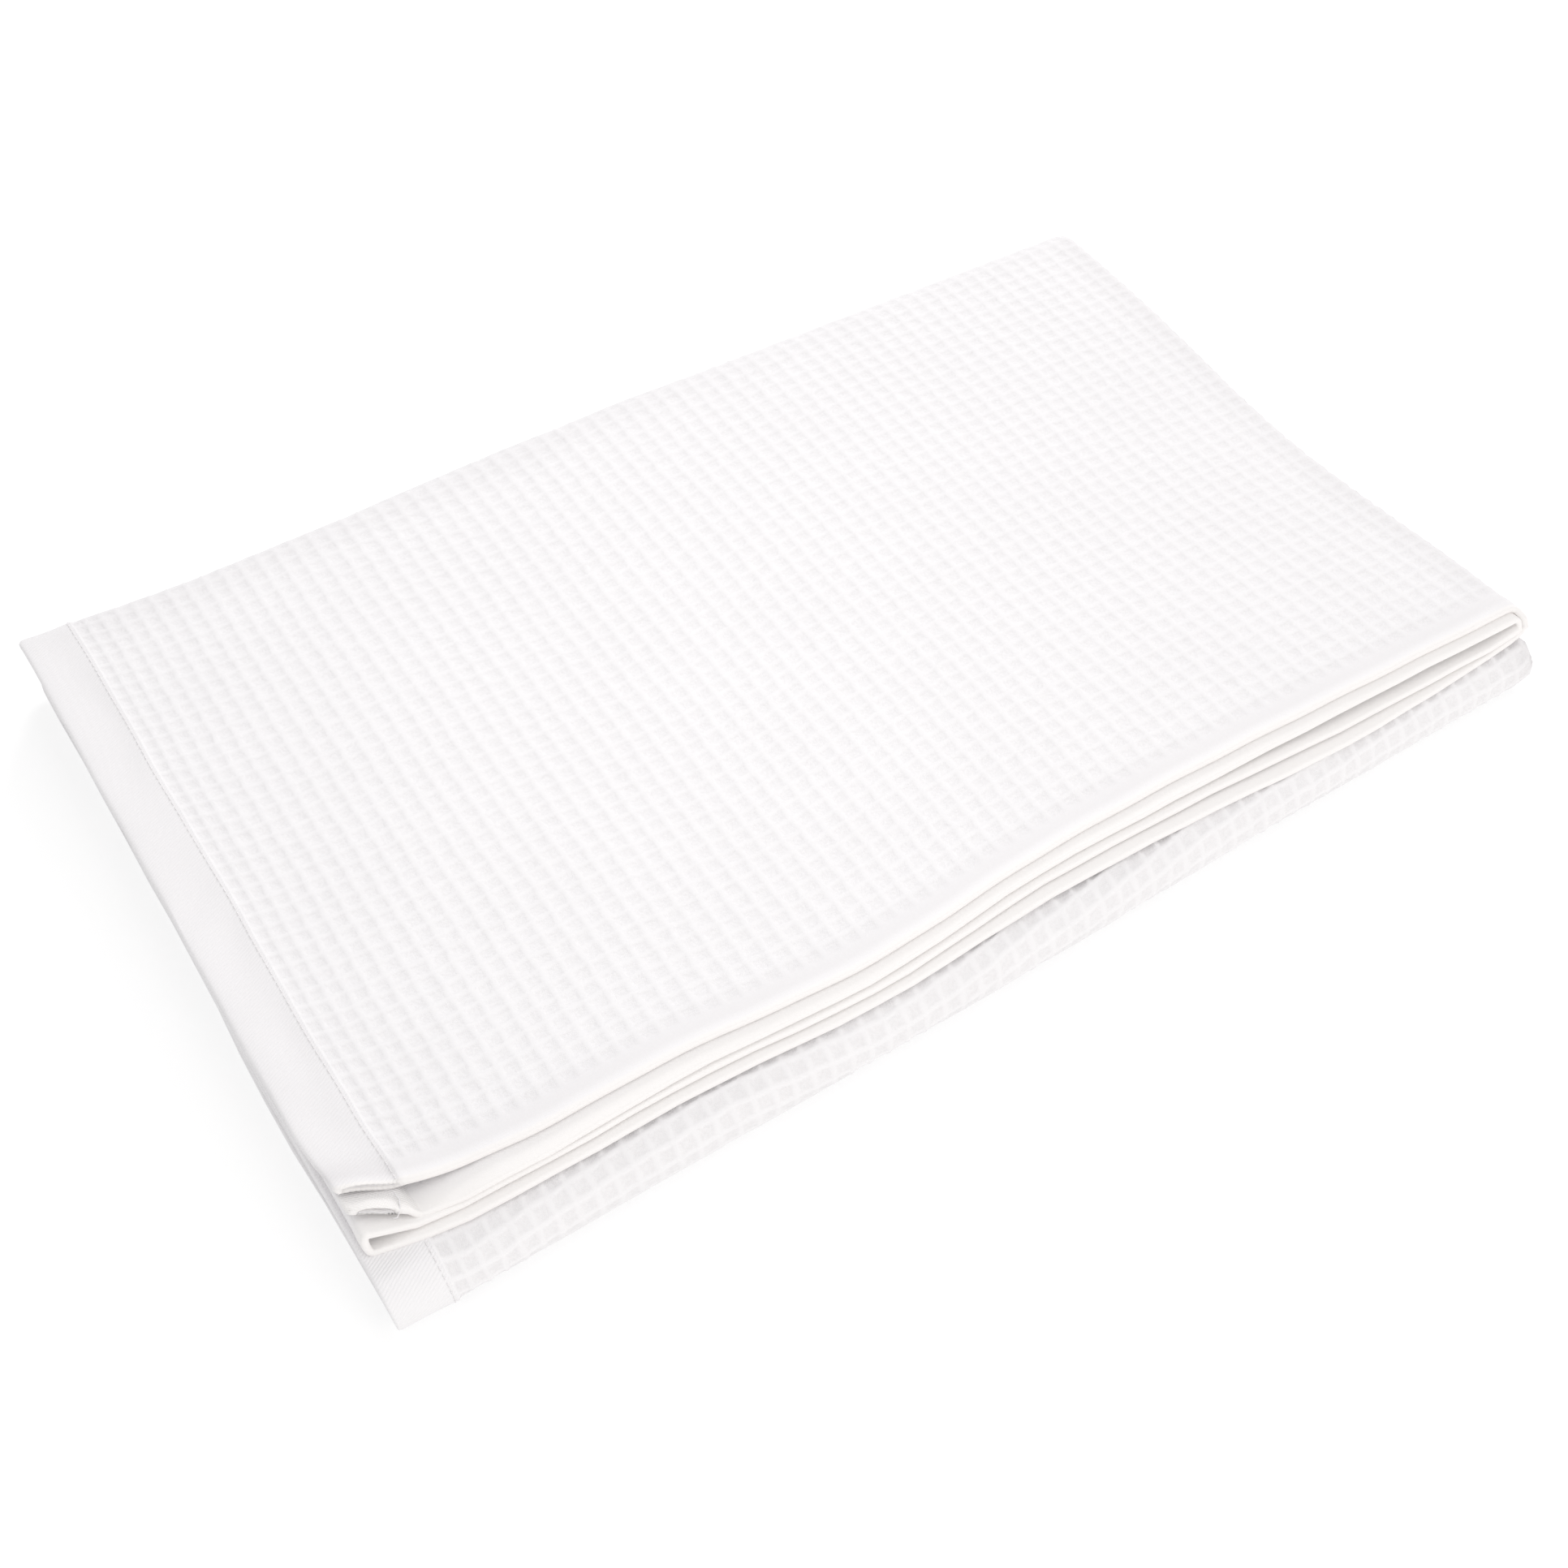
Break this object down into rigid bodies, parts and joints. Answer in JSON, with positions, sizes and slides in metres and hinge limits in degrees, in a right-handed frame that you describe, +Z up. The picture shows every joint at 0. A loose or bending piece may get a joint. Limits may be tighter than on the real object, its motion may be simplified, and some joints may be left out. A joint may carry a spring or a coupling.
{
  "type": "folded bath sheet",
  "caption": "White cotton waffle-weave bath sheet with hemmed ends, folded flat into a neat stack with its selvages stepped along the front.",
  "frame": {"origin": "on the surface that the folded sheet lies on, under the middle of its box", "axes": "+X along the folded length, from the hems to the outer fold; -Y towards the selvages and the front fold; +Z up"},
  "size_m": [0.5065, 0.3457, 0.0354],
  "materials": {
    "white_cotton": "matt bleached cotton, waffle weave with plain borders"
  },
  "bodies": {
    "root": {"bath_sheet": "white_cotton"}
  },
  "joints": []
}
